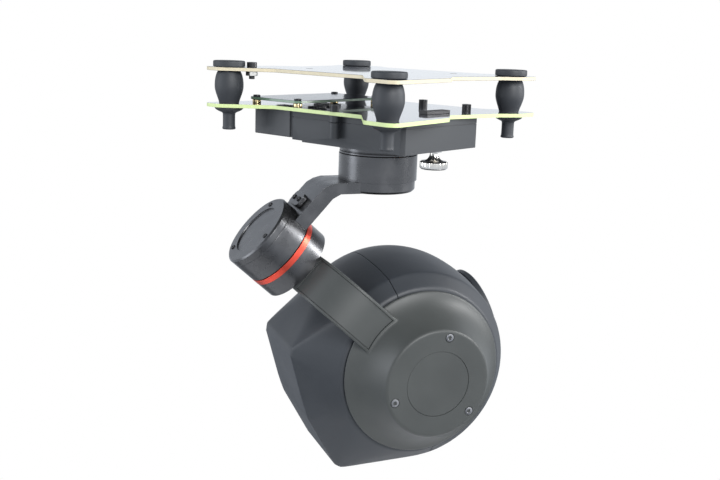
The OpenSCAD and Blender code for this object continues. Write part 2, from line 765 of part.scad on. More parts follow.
module cover_body() {
    rotate([90, 0, 90]) rotate_extrude($fn = 96) polygon(concat(
        [[0, rim_s], [cover_d / 2, rim_s], [cover_d / 2, rim_s + 0.6]],
        [for (i = [0 : 10]) flare(i / 10)],
        [[cover_top_r - 0.4, cover_top_s], [0, cover_top_s]]
    ));
}

// The strip's path with a flat section: under the motor, round the elbow and down to the cover
module strip_path(depth, thick, width, start_s, end_l) {
    outer = elbow_r - depth;
    inner = outer - thick;
    translate([0, width / 2, 0]) rotate([90, 0, 0]) linear_extrude(width) polygon(concat(
        [[start_s, elbow_l + inner], [start_s, elbow_l + outer]],
        [for (i = [18 : -1 : 0]) [elbow_s + outer * cos(i * 5), elbow_l + outer * sin(i * 5)]],
        [[elbow_s + outer, end_l], [elbow_s + inner, end_l]],
        [for (i = [0 : 18]) [elbow_s + inner * cos(i * 5), elbow_l + inner * sin(i * 5)]]
    ));
}

// Roll arm: plate under the roll motor, elbow strip and the cover of the pitch motor, in one casting
module roll_arm() {
    room_r = motor_r + bell_room;
    color(warm_grey) roll_stage() difference() {
        union() {
            strip_path(0, strip_t, strip_w, 0, strip_end_l - 4);
            translate([0, 0, strip_top_l - strip_t]) cylinder(r = 12, h = strip_t);
            difference() {
                cover_body();
                translate([rim_s - 1, 0, 0]) rotate([0, 90, 0])
                    cylinder(r1 = cover_d / 2 - 1.6, r2 = cover_d / 2 - 4.6, h = 3);
                translate([rim_s - 1, 0, 0]) rotate([0, 90, 0])
                    cylinder(r = room_r, h = cover_top_s - rim_s - cover_wall + 1);
            }
        }
        // pocket for the strip's inset cover, ended by an arc round the pitch axis
        difference() {
            strip_path(-1, strip_pocket + 1, strip_w - 2 * lip_w, motor_r + 0.6, strip_end_l - 4);
            rotate([0, 90, 0]) cylinder(r = strip_end_l, h = 90);
        }
        // seat of the inset disc in the flat top
        translate([cover_top_s - 0.7, 0, 0]) rotate([0, 90, 0]) cylinder(d = badge_d, h = 2);
        translate([cover_top_s - 4, 0, 0]) rotate([0, 90, 0]) rotate([0, 0, cover_screw_turn])
            around(3, cover_screw_r) cylinder(d = 2, h = 8);
    }
}

module arm_strip_cover() {
    color(warm_grey) roll_stage() difference() {
        strip_path(strip_pocket - strip_cover_t, strip_cover_t, strip_w - 2 * lip_w - 2 * inset_gap,
            motor_r + 0.6 + inset_gap, strip_end_l - 4);
        rotate([0, 90, 0]) cylinder(r = strip_end_l + inset_gap, h = 90);
    }
}

module cover_badge() {
    color(warm_grey) roll_stage() translate([cover_top_s - 0.7, 0, 0]) rotate([0, 90, 0])
        cylinder(d = badge_d - 2 * inset_gap, h = 0.6);
}

module cover_screws() {
    color(steel) roll_stage() translate([cover_top_s, 0, 0]) rotate([0, 90, 0])
        rotate([0, 0, cover_screw_turn]) around(3, cover_screw_r) socket_screw(2, 3.8, 3.5, 0.5);
}

module pitch_base() {
    color(charcoal) roll_stage() pitch_motor_axis()
        motor_base(motor_r + bell_room - inset_gap, pitch_base_t, pitch_bell_end);
}

module pitch_stator() { color(steel) roll_stage() pitch_motor_axis() motor_stator(pitch_bell_end); }
module pitch_windings() { roll_stage() pitch_motor_axis() motor_windings(pitch_bell_end); }
module pitch_bearings() { roll_stage() pitch_motor_axis() motor_bearings(pitch_bell_end); }
module pitch_bell() { color(charcoal) head_stage() pitch_motor_axis() motor_bell(flange_gap, pitch_bell_l); }
module pitch_magnets() { head_stage() pitch_motor_axis() motor_magnets(pitch_bell_end); }
module pitch_shaft() { head_stage() pitch_motor_axis() motor_shaft(pitch_bell_end); }

// Round body of the head, turned round the pitch axis: a dome, a fuller barrel and a flat motor side
module head_round(inset) {
    r = ball_r - inset;
    rotate([90, 0, 90]) rotate_extrude($fn = 60) polygon(concat(
        [for (i = [0 : 10]) let (t = -90 + i * 9) [r * cos(t), r * sin(t)]],
        [for (i = [1 : 5]) let (t = i / 5) [r - (ball_r - edge_r) * t * t, edge_s * t]],
        [[side_r - inset, side_s - inset], [0, side_s - inset]]
    ));
}

module swing_limit(inset) {
    translate([-60, 0, 0]) rotate([0, 90, 0]) cylinder(r = swing_r - inset, h = 120, $fn = 96);
}

// Rear half with its angular housing, drawn in by the same amount all over
module rear_solid(inset) {
    intersection() {
        hull() {
            intersection() {
                head_round(inset);
                translate([-60, -60, -60]) cube([120, 60, 120]);
            }
            translate([-rear_half_w + inset, 0, 0]) rotate([90, 0, 90])
                linear_extrude(2 * (rear_half_w - inset)) offset(delta = housing_grow - inset)
                    polygon(rear_outline);
        }
        swing_limit(inset);
        translate([-60, -60 - seam_back, -60]) cube([120, 60, 120]);
    }
}

module rear_shell() {
    color(charcoal) head_stage() difference() {
        rear_solid(0);
        rear_solid(shell_t);
        translate([side_s - shell_t - 1, 0, 0]) rotate([0, 90, 0]) cylinder(r = 13, h = 4);
    }
}

module front_shell() {
    bore_r = bezel_d / 2 - 1.6;
    color(charcoal) head_stage() difference() {
        union() {
            intersection() {
                head_round(0);
                translate([-60, -seam_back, -60]) cube([120, 70, 120]);
            }
            translate([0, tube_start_y, 0]) rotate([-90, 0, 0])
                cylinder(d = bezel_d, h = bezel_y - 2 - tube_start_y);
        }
        difference() {
            head_round(shell_t);
            translate([0, tube_start_y, 0]) rotate([-90, 0, 0]) cylinder(d = bezel_d, h = 30);
        }
        translate([0, tube_start_y - 1, 0]) rotate([-90, 0, 0]) cylinder(r = bore_r, h = 30);
        translate([0, bezel_y - 3, 0]) rotate([-90, 0, 0]) cylinder(r = bezel_d / 2 + 0.5, h = 12);
        translate([side_s - shell_t - 1, 0, 0]) rotate([0, 90, 0]) cylinder(r = 13, h = 4);
    }
}

// Inner frame: a plate behind the motor side and a shelf that holds the camera
module head_frame() {
    plate_s = side_s - shell_t;
    color([0.62, 0.63, 0.65]) head_stage() difference() {
        union() {
            translate([plate_s - 2.4, 0, 0]) rotate([0, 90, 0]) cylinder(r = frame_r, h = 2);
            translate([plate_s - 0.4 - eps, 0, 0]) rotate([0, 90, 0])
                cylinder(r = 9, h = pitch_gap_s - pitch_bell_end - plate_s + 0.4 + eps);
            translate([-21, -14, -24]) cube([plate_s + 19, 26, 2]);
        }
        translate([plate_s - 4, 0, 0]) rotate([0, 90, 0]) cylinder(r = shaft_r + 0.3, h = 12);
        translate([-10, -10, -25]) cylinder(r = 5, h = 5);
    }
}

module camera_module() {
    color([0.10, 0.11, 0.12]) head_stage() difference() {
        translate([-19, -22, -22]) cube([38, 38, 38]);
        translate([0, 6, 0]) rotate([-90, 0, 0]) cylinder(r = 12 + shaft_play, h = 12);
    }
}

module lens_barrel() {
    color([0.09, 0.09, 0.10]) head_stage() rotate([-90, 0, 0]) difference() {
        union() {
            translate([0, 0, 6]) cylinder(r = 12, h = lens_end_y - 13);
            translate([0, 0, lens_end_y - 7 - eps]) cylinder(r1 = 12, r2 = 17, h = 7);
        }
        translate([0, 0, lens_end_y - 6]) cylinder(r1 = 10, r2 = 16, h = 7);
    }
}

module sensor_board() {
    color(board_green) head_stage() translate([-17, -25.2, -18]) cube([34, 1.6, 34]);
}

module lens_bezel() {
    outer_r = bezel_d / 2;
    color([0.14, 0.15, 0.16]) head_stage() rotate([-90, 0, 0]) difference() {
        union() {
            translate([0, 0, bezel_y - 3]) cylinder(r = outer_r, h = 2.4);
            translate([0, 0, bezel_y - 0.6 - eps]) cylinder(r1 = outer_r, r2 = outer_r - 0.6, h = 0.6);
            translate([0, 0, bezel_y - 6]) cylinder(r = outer_r - 1.6 - inset_gap, h = 3.2);
        }
        translate([0, 0, bezel_y - 7]) cylinder(r = outer_r - 4.5, h = 9);
        translate([0, 0, bezel_y - 3.4]) cylinder(r = outer_r - 3.2, h = 9);
    }
}

module lens_window() {
    color([0.20, 0.24, 0.30]) head_stage() rotate([-90, 0, 0])
        translate([0, 0, bezel_y - 3.4]) cylinder(r = bezel_d / 2 - 3.2 - inset_gap, h = 1.6);
}

upper_plate();
damper_rear_left();
damper_rear_right();
damper_front_left();
damper_front_right();
safety_screw();
safety_nut();
lower_plate();
electronics_case();
side_box();
case_screws();
controller_board();
controller_parts();
signal_board();
signal_board_spacers();
signal_board_screws();
signal_board_chips();
plate_connector();
thumb_screw();
yaw_flange();
yaw_flange_screws();
yaw_stator();
yaw_windings();
yaw_bearings();
yaw_bell();
yaw_magnets();
yaw_shaft();
yaw_arm();
arm_cable_cover();
arm_cable_cover_screws();
roll_motor_housing();
roll_motor_cap();
roll_cap_screws();
roll_stator();
roll_windings();
roll_bearings();
roll_bell();
roll_red_ring();
roll_magnets();
roll_shaft();
roll_arm();
arm_strip_cover();
cover_badge();
cover_screws();
pitch_base();
pitch_stator();
pitch_windings();
pitch_bearings();
pitch_bell();
pitch_magnets();
pitch_shaft();
front_shell();
rear_shell();
head_frame();
lens_bezel();
lens_window();
camera_module();
lens_barrel();
sensor_board();
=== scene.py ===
import json
import math

import bpy
from mathutils import Matrix, Vector


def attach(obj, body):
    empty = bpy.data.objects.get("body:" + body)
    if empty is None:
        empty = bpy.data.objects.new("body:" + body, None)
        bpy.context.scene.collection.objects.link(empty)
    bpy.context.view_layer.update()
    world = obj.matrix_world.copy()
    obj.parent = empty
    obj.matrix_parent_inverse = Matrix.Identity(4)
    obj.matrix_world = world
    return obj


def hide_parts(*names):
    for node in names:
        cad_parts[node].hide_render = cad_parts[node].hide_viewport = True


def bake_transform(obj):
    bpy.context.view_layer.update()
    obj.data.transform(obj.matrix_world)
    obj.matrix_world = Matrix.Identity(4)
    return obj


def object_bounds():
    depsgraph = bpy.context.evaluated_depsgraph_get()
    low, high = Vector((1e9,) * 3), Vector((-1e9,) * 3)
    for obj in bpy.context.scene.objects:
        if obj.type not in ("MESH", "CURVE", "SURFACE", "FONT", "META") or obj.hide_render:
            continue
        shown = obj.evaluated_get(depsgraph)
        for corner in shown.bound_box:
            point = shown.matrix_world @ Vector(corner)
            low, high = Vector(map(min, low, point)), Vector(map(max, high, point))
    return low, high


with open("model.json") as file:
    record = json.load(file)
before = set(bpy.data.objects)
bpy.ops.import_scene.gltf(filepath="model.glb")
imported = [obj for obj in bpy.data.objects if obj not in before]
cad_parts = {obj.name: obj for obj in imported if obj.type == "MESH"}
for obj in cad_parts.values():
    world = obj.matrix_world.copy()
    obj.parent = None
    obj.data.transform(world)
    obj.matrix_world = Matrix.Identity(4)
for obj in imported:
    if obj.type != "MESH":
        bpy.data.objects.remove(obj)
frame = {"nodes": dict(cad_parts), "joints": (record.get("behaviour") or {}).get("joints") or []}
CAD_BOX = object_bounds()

bl_info = {
    "name": "Camera gimbal",
    "version": (1, 0, 0),
    "blender": (4, 5, 0),
    "location": "3D View > Sidebar > Gimbal",
    "description": "Models and finishes a three-axis camera gimbal around its packed CAD frame",
    "category": "Object",
}

MM = 0.001
NODES = frame["nodes"]
JOINTS = {joint["name"]: joint for joint in frame["joints"]}


# Places: the local frames of the stages, from the frame's own joints

def stage_frame(up, side, middle):
    """Matrix of a frame with Z along up, X along side, and its origin at middle."""
    z = Vector(up).normalized()
    x = Vector(side).normalized()
    y = z.cross(x)
    place = Matrix((x, y, z)).transposed().to_4x4()
    place.translation = Vector(middle)
    return place


HEAD_TILT = math.radians(-32)
HEAD_MIDDLE = JOINTS["pitch"]["pos_m"]
ROLL_FRAME = stage_frame([-c for c in JOINTS["roll"]["axis"]], JOINTS["pitch"]["axis"], HEAD_MIDDLE)
HEAD_FRAME = ROLL_FRAME @ Matrix.Rotation(HEAD_TILT, 4, "X")
ALONG_PITCH = Matrix.Rotation(math.radians(90), 4, "Y")
ALONG_LENS = Matrix.Rotation(math.radians(-90), 4, "X")

# Sizes that the pieces share with the CAD part, in millimetres
BALL_R = 47.5
EDGE_R = 43.4
EDGE_S = 31.0
SIDE_R = 37.6
SIDE_S = 37.4
RIM_S = 38.1
COVER_R = 36.7
COVER_TOP_R = 23.6
COVER_TOP_S = 54.6
MOTOR_R = 17.8
MOTOR_ROOM_R = 19.4
ELBOW_R = 22.5
ELBOW_L = 40.6
ELBOW_S = 21.0
STRIP_T = 3.2
STRIP_W = 18.6
STRIP_END = 31.3
LIP_W = 1.2
STRIP_TOP = 63.1
BOSS_R = 12.0
POCKET = 1.1
COVER_SCREW_R = 20.7
SCREW_SEAT_R = 2.05
SCREW_SINK = 0.4
BADGE_SEAT_R = 14.5
REAR_HALF_W = 20.0
BEZEL_R = 22.0
BEZEL_Y = 47.0
SEAM_BACK = 2.8
REAR_OUTLINE = [
    (0.55, 35.9), (-46.4, 25.92), (-49.91, 24.15), (-51.24, 20.8), (-50.4, 15.87), (-50.81, 9.14),
    (-51.46, -2.25), (-51.06, -10.85), (-44.86, -37.14), (-42.47, -39.7), (14.06, -27.68),
]
BULB = [(0, 5.0), (0.1, 5.62), (0.2, 6.0), (0.3, 6.24), (0.45, 6.35), (0.55, 6.27), (0.65, 5.95), (0.75, 5.5),
        (0.85, 5.0), (0.93, 4.6), (1, 4.35)]
BULB_TOP = -1.8
BULB_H = 13.8
CASE_TOP = -17.4
LID_H = 2.8
GROOVE_H = 0.32
GROOVE_IN = 0.988
CASE_OUTLINE = [(-19, -36), (41.5, -36), (43, -34.5), (43, 14), (30, 30), (-19, 30)]
DAMPERS = {
    "damper_rear_left": (-45.5, -49.2), "damper_rear_right": (45.5, -49.2),
    "damper_front_left": (-45.5, 34.8), "damper_front_right": (45.5, 34.8),
}
FLOOR_SIZE = 0.6  # metres


# Modelling, as by hand

def deselect():
    if bpy.context.object and bpy.context.object.mode != "OBJECT":
        bpy.ops.object.mode_set(mode="OBJECT")
    for shown in list(bpy.context.selected_objects):
        shown.select_set(False)


def only(piece):
    deselect()
    piece.select_set(True)
    bpy.context.view_layer.objects.active = piece
    return piece


def edit(piece):
    only(piece)
    bpy.ops.object.mode_set(mode="EDIT")
    bpy.ops.mesh.select_all(action="SELECT")


def done(piece):
    bpy.ops.object.mode_set(mode="OBJECT")
    return piece


def new_name(name):
    piece = bpy.context.object
    piece.name = piece.data.name = name
    return piece


def place(piece, matrix):
    """Moves a piece by a matrix and leaves its object at the origin, unturned."""
    only(piece)
    piece.matrix_world = matrix @ piece.matrix_world
    bpy.ops.object.transform_apply(location=True, rotation=True, scale=True)
    return piece


def modifier(piece, kind, **settings):
    """Adds a modifier, sets it and applies it."""
    only(piece)
    bpy.ops.object.modifier_add(type=kind)
    added = piece.modifiers[-1]
    for key, value in settings.items():
        setattr(added, key, value)
    bpy.ops.object.modifier_apply(modifier=added.name)
    return piece


def smooth(piece, angle=35):
    only(piece)
    bpy.ops.object.shade_smooth_by_angle(angle=math.radians(angle))
    return piece


def first_point(name, point):
    """Starts a line of vertices at one point, given in millimetres."""
    deselect()
    bpy.ops.mesh.primitive_plane_add(size=0.001, location=(0, 0, 0))
    piece = new_name(name)
    edit(piece)
    bpy.ops.mesh.merge(type="CENTER")
    bpy.ops.transform.translate(value=Vector(point) * MM)
    return piece


def drawn_line(points):
    for a, b in zip(points, points[1:]):
        step = (Vector(b) - Vector(a)) * MM
        bpy.ops.mesh.extrude_vertices_move(TRANSFORM_OT_translate={"value": step})


def turned(name, profile, steps=96):
    """A piece turned round Z from a profile of (radius, height) pairs in millimetres."""
    points = [(r, 0, z) for r, z in profile]
    piece = first_point(name, points[0])
    drawn_line(points)
    bpy.ops.mesh.select_all(action="SELECT")
    bpy.ops.mesh.spin(steps=steps, angle=math.tau, center=(0, 0, 0), axis=(0, 0, 1))
    bpy.ops.mesh.select_all(action="SELECT")
    bpy.ops.mesh.remove_doubles(threshold=1e-6)
    bpy.ops.mesh.normals_make_consistent(inside=False)
    return done(piece)


def prism(name, outline, half_width):
    """A prism along X from an outline of (Y, Z) pairs in millimetres."""
    points = [(-half_width, y, z) for y, z in outline]
    piece = first_point(name, points[0])
    drawn_line(points)
    bpy.ops.mesh.select_all(action="SELECT")
    bpy.ops.mesh.edge_face_add()
    bpy.ops.mesh.extrude_region_move(
        TRANSFORM_OT_translate={"value": (2 * half_width * MM, 0, 0)})
    bpy.ops.mesh.select_all(action="SELECT")
    bpy.ops.mesh.normals_make_consistent(inside=False)
    return done(piece)


def rod(name, radius, low, high, steps=64):
    """A plain round cutter or core along Z, in millimetres."""
    return turned(name, [(0, low), (radius, low), (radius, high), (0, high)], steps)


def joined(piece, *others):
    only(piece)
    for other in others:
        other.select_set(True)
    bpy.ops.object.join()
    return piece


def cut(piece, tool, operation="DIFFERENCE"):
    """Cuts a piece with a tool, or joins them, and throws the tool away."""
    modifier(piece, "BOOLEAN", operation=operation, object=tool, solver="EXACT")
    bpy.data.objects.remove(tool)
    return piece


def sliced(piece, point, normal, fill=False):
    """Takes away what lies in front of a plane, in millimetres."""
    edit(piece)
    bpy.ops.mesh.bisect(plane_co=Vector(point) * MM, plane_no=normal, clear_outer=True,
                        clear_inner=False, use_fill=fill)
    return done(piece)


def softened(piece, voxel, rounds, factor=0.5):
    """Rounds every edge a little, as a moulding or casting has it."""
    modifier(piece, "REMESH", mode="VOXEL", voxel_size=voxel * MM)
    modifier(piece, "SMOOTH", factor=factor, iterations=rounds)
    return piece


def walled(piece, thickness):
    modifier(piece, "SOLIDIFY", thickness=thickness * MM, offset=-1)
    return piece


def refined(node, name, edge=0.3, segments=2, angle=30):
    """A copy of a CAD node, merged, with its flat faces whole and its edges rounded."""
    piece = bpy.data.objects.new(name, NODES[node].data.copy())
    piece.data.name = name
    piece.data.materials.clear()
    bpy.context.scene.collection.objects.link(piece)
    edit(piece)
    bpy.ops.mesh.remove_doubles(threshold=2e-6)
    bpy.ops.mesh.dissolve_limited(angle_limit=math.radians(0.8), delimit=set())
    done(piece)
    if edge:
        modifier(piece, "BEVEL", width=edge * MM, segments=segments, limit_method="ANGLE",
                 angle_limit=math.radians(angle), miter_outer="MITER_ARC", use_clamp_overlap=True)
    smooth(piece, angle)
    modifier(piece, "WEIGHTED_NORMAL", keep_sharp=True, weight=80)
    return piece


def settle(piece, body, slot, finish, *nodes):
    """Gives a finished piece its material, ties it to its body and hides the CAD nodes that it stands for. Its slot
    is not used.
    """
    piece.data.materials.clear()
    piece.data.materials.append(finish)
    if body:
        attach(piece, body)
    if nodes:
        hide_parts(*nodes)
    return piece


# Finishes

class Link:
    """An output of a shader node. Sums, products and comparisons of it add Math nodes."""

    def __init__(self, finish, socket):
        self.finish = finish
        self.socket = socket

    def maths(self, operation, a, b=0.0):
        return self.finish.node("ShaderNodeMath", {"operation": operation}, {0: a, 1: b})

    def __add__(self, other):
        return self.maths("ADD", self, other)

    def __radd__(self, other):
        return self.maths("ADD", other, self)

    def __sub__(self, other):
        return self.maths("SUBTRACT", self, other)

    def __rsub__(self, other):
        return self.maths("SUBTRACT", other, self)

    def __mul__(self, other):
        return self.maths("MULTIPLY", self, other)

    def __rmul__(self, other):
        return self.maths("MULTIPLY", other, self)

    def __gt__(self, other):
        return self.maths("GREATER_THAN", self, other)

    def __abs__(self):
        return self.maths("ABSOLUTE", self)


class Finish:
    """One procedural material round its surface shader."""

    def __init__(self, name, **sockets):
        self.material = bpy.data.materials.new(name)
        self.material.use_nodes = True
        self.tree = self.material.node_tree
        self.shader = self.tree.nodes["Principled BSDF"]
        for label, value in sockets.items():
            self.set(label.replace("_", " ").title().replace("Ior", "IOR"), value)
        self.place = self.node("ShaderNodeTexCoord", output="Object")

    def feed(self, socket, value):
        if isinstance(value, Link):
            self.tree.links.new(value.socket, socket)
        elif socket.type == "RGBA" and len(value) == 3:
            socket.default_value = (*value, 1.0)
        else:
            socket.default_value = value

    def set(self, label, value):
        self.feed(self.shader.inputs[label], value)

    def node(self, kind, settings=None, inputs=None, output=0):
        made = self.tree.nodes.new(kind)
        settings = dict(settings or {})
        stops = settings.pop("stops", None)
        for key, value in settings.items():
            setattr(made, key, value)
        if stops:
            ramp = made.color_ramp
            while len(ramp.elements) < len(stops):
                ramp.elements.new(1.0)
            for element, (where, shade) in zip(ramp.elements, stops):
                element.position = where
                element.color = (shade, shade, shade, 1.0)
        for key, value in (inputs or {}).items():
            self.feed(made.inputs[key], value)
        return Link(self, made.outputs[output])

    def noise(self, scale, detail=2.0, roughness=0.5):
        return self.node("ShaderNodeTexNoise", None, {
            "Vector": self.place, "Scale": scale, "Detail": detail, "Roughness": roughness})

    def ramp(self, value, *stops):
        return self.node("ShaderNodeValToRGB", {"stops": stops}, {0: value})

    def mixed(self, mask, a, b):
        return self.node("ShaderNodeMix", {"data_type": "RGBA"}, {0: mask, 6: a, 7: b}, output=2)

    def scaled(self, value, low, high):
        """A value from 0 to 1 spread between two others."""
        return value * (high - low) + low

    def bump(self, height, strength=0.3, distance=0.05):
        self.set("Normal", self.node("ShaderNodeBump", None, {
            "Height": height, "Strength": strength, "Distance": distance * MM}))

    def normal_axis(self, axis):
        """How far the surface faces along one axis of the piece."""
        facing = self.node("ShaderNodeTexCoord", output="Normal")
        return self.node("ShaderNodeSeparateXYZ", None, {0: facing}, output=axis)


def shade(colour, factor):
    return tuple(min(1.0, c * factor) for c in colour)


FINISHES = {}


def kept(make):
    """Makes each finish once."""
    def get(*words):
        key = (make.__name__,) + words
        if key not in FINISHES:
            FINISHES[key] = make(*words).material
        return FINISHES[key]
    return get


def colours():
    return bpy.context.scene.gimbal_colours


def sizes():
    return bpy.context.scene.gimbal_sizes


def moulded(name, colour, low, high, grain=2600, strength=0.18, coat=0.0):
    """Fine-grained satin paint or moulding, with faint clouds in its shade and gloss."""
    f = Finish(name, coat_weight=coat)
    clouds = f.noise(55, 3)
    fine = f.noise(grain, 2)
    tone = f.ramp(clouds, (0.3, 0.0), (0.7, 1.0))
    f.set("Base Color", f.mixed(tone, shade(colour, 0.93), shade(colour, 1.07)))
    f.set("Roughness", f.scaled(tone, low, high) + (fine - 0.5) * 0.08)
    f.bump(fine, strength, 0.03)
    return f


def metal(name, colour, low, high, metallic=1.0, grain=3800, strength=0.12):
    """Bead-blasted or polished metal, with faint handling marks in its gloss."""
    f = Finish(name)
    fine = f.noise(grain, 2)
    marks = f.ramp(f.noise(140, 4), (0.42, 0.0), (0.62, 1.0))
    f.set("Metallic", metallic)
    f.set("Base Color", f.mixed(marks, shade(colour, 0.94), shade(colour, 1.06)))
    f.set("Roughness", f.scaled(marks, low, high) + (fine - 0.5) * 0.06)
    f.bump(fine, strength, 0.02)
    return f


@kept
def anodised_black():
    return metal("anodised_black", colours().anodised, 0.26, 0.34, 0.9)


@kept
def shell_paint():
    return moulded("shell_paint", colours().shell, 0.44, 0.52, 2200, 0.16)


@kept
def arm_paint():
    return moulded("arm_paint", colours().arm, 0.42, 0.50, 2600, 0.14)


@kept
def case_plastic():
    return moulded("case_plastic", colours().case, 0.42, 0.52, 2400, 0.2)


@kept
def rubber():
    return moulded("rubber", colours().rubber, 0.5, 0.62, 3200, 0.2)


@kept
def plate_laminate(edge_kind):
    """Glossy coated glass laminate: dark faces with faint tracks under the gloss, bare fibre edges."""
    edge = colours().upper_edge if edge_kind == "upper" else colours().lower_edge
    f = Finish(f"plate_laminate_{edge_kind}", coat_weight=1.0, coat_roughness=0.04, specular_ior_level=0.7)
    up = f.normal_axis("Z")
    face = abs(up) > 0.5
    grid = f.node("ShaderNodeTexBrick", {"offset": 0.37, "squash": 0.6, "squash_frequency": 3}, {
        "Vector": f.place, "Color1": (0, 0, 0), "Color2": (0.3, 0.3, 0.3), "Mortar": (1, 1, 1),
        "Scale": 90.0, "Mortar Size": 0.008, "Brick Width": 2.3, "Row Height": 0.23})
    tracks = f.ramp(grid, (0.55, 0.0), (0.8, 1.0)) * (f.noise(38, 1) > 0.52)
    board = f.mixed(tracks, colours().plate, shade(colours().plate, 1.22))
    fibres = f.noise(900, 2, 0.6)
    edging = f.mixed(fibres, shade(edge, 0.86), shade(edge, 1.1))
    f.set("Base Color", f.mixed(face, edging, board))
    f.set("Roughness", 0.5 - face * 0.36)
    f.set("Coat Weight", face * 1.0)
    f.bump(tracks * 0.6 + fibres * 0.25, 0.10, 0.02)
    return f


@kept
def circuit_board():
    f = Finish("circuit_board", coat_weight=0.5, coat_roughness=0.1)
    face = abs(f.normal_axis("Z")) > 0.5
    grid = f.node("ShaderNodeTexBrick", {"offset": 0.5}, {
        "Vector": f.place, "Color1": (0, 0, 0), "Color2": (0.4, 0.4, 0.4), "Mortar": (1, 1, 1),
        "Scale": 220.0, "Mortar Size": 0.02, "Brick Width": 0.7, "Row Height": 0.3})
    tracks = f.ramp(grid, (0.5, 0.0), (0.8, 1.0))
    f.set("Base Color", f.mixed(face, (0.12, 0.20, 0.13), f.mixed(tracks, (0.05, 0.055, 0.07), (0.10, 0.11, 0.13))))
    f.set("Roughness", 0.42 - face * 0.2)
    f.bump(tracks, 0.2, 0.02)
    return f


@kept
def black_oxide():
    return metal("black_oxide", colours().screws, 0.3, 0.42, 0.8, 5200)


@kept
def bright_steel():
    return metal("bright_steel", (0.62, 0.62, 0.63), 0.22, 0.34, 1.0, 5200)


@kept
def worn_steel():
    return metal("worn_steel", (0.34, 0.34, 0.35), 0.3, 0.42, 1.0, 5200)


@kept
def nickel():
    return metal("nickel", colours().nickel, 0.12, 0.2, 1.0, 6000, 0.05)


@kept
def red_anodised():
    return metal("red_anodised", colours().red, 0.30, 0.38, 0.9, 4200)


@kept
def brass():
    return metal("brass", (0.72, 0.58, 0.32), 0.22, 0.32)


@kept
def iron():
    """Iron of the stator, which is laminated in thin sheets across the motor's axis; the finish is plain metal and
    does not draw the sheets.
    """
    return metal("iron", (0.36, 0.36, 0.38), 0.35, 0.5)


@kept
def magnet_plating():
    return metal("magnet_plating", (0.5, 0.5, 0.52), 0.2, 0.32)


@kept
def aluminium():
    return metal("aluminium", (0.66, 0.67, 0.69), 0.3, 0.42)


@kept
def copper():
    f = Finish("copper", metallic=1.0)
    turns = f.node("ShaderNodeTexWave", {"bands_direction": "Z"}, {
        "Vector": f.place, "Scale": 900.0, "Distortion": 0.3})
    f.set("Base Color", f.mixed(turns, (0.35, 0.14, 0.06), (0.75, 0.36, 0.18)))
    f.set("Roughness", f.scaled(turns, 0.4, 0.25))
    f.bump(turns, 0.5, 0.1)
    return f


@kept
def chip_black():
    return moulded("chip_black", (0.016, 0.016, 0.018), 0.4, 0.52, 4200, 0.2)


@kept
def lens_black():
    return moulded("lens_black", (0.012, 0.012, 0.013), 0.3, 0.4, 3600, 0.12)


@kept
def lens_glass():
    f = Finish("lens_glass", transmission_weight=0.9, roughness=0.02, ior=1.5, coat_weight=0.6, coat_roughness=0.02)
    sweep = f.ramp(f.noise(30, 1), (0.35, 0.0), (0.65, 1.0))
    f.set("Base Color", f.mixed(sweep, (0.55, 0.62, 0.86), (0.66, 0.60, 0.88)))
    return f


@kept
def lens_coating():
    """The camera's own front element, dark glass with a violet-green bloom."""
    f = Finish("lens_coating", coat_weight=1.0, coat_roughness=0.02, roughness=0.06, specular_ior_level=0.9)
    bloom = f.ramp(f.noise(42, 1), (0.35, 0.0), (0.65, 1.0))
    f.set("Base Color", f.mixed(bloom, (0.012, 0.02, 0.045), (0.035, 0.012, 0.05)))
    return f


@kept
def studio_floor():
    f = Finish("studio_floor", roughness=0.85)
    cloud = f.noise(1.3, 2)
    f.set("Base Color", f.mixed(cloud, (0.90, 0.90, 0.91), (0.93, 0.93, 0.93)))
    return f


# Sizes and colours that a user may change

def length(label, about, value):
    return bpy.props.FloatProperty(name=label, description=about, default=value * MM, unit="LENGTH", precision=5)


def tint(label, about, value):
    return bpy.props.FloatVectorProperty(name=label, description=about, default=value, subtype="COLOR",
                                         size=3, min=0.0, max=1.0)


class GimbalSizes(bpy.types.PropertyGroup):
    """Small sizes that finish the pieces."""

    metal_edge: length("Metal edges", "Rounding of the machined edges", 0.3)
    case_edge: length("Case edges", "Rounding of the electronics case's edges", 0.55)
    arm_edge: length("Arm edges", "Rounding of the yaw arm's edges", 0.7)
    seam: length("Head seam", "Gap between the head's two shells", 0.3)
    shell_wall: length("Shell wall", "Thickness of the head's shells", 2.0)
    shell_voxel: length("Shell grain", "Mesh size of the head's shells", 0.8)
    arm_voxel: length("Casting grain", "Mesh size of the roll arm's casting", 0.45)


class GimbalColours(bpy.types.PropertyGroup):
    """Colours of the gimbal's finishes."""

    anodised: tint("Anodised black", "Motors and arms", (0.112, 0.113, 0.117))
    shell: tint("Shell grey", "The camera head's shells", (0.030, 0.034, 0.040))
    arm: tint("Arm grey", "The roll arm and the motor's cover", (0.052, 0.056, 0.054))
    case: tint("Case black", "The electronics case", (0.030, 0.033, 0.037))
    rubber: tint("Rubber", "The dampers", (0.030, 0.033, 0.038))
    plate: tint("Plate faces", "Dark faces of both plates", (0.060, 0.064, 0.090))
    upper_edge: tint("Upper plate's edge", "Bare fibre edge of the upper plate", (0.66, 0.58, 0.40))
    lower_edge: tint("Lower plate's edge", "Bare fibre edge of the lower plate", (0.62, 0.74, 0.33))
    red: tint("Red ring", "Ring on the roll motor", (0.82, 0.10, 0.065))
    screws: tint("Black screws", "Black socket screws", (0.04, 0.04, 0.042))
    nickel: tint("Nickel", "The thumb screw", (0.72, 0.70, 0.66))


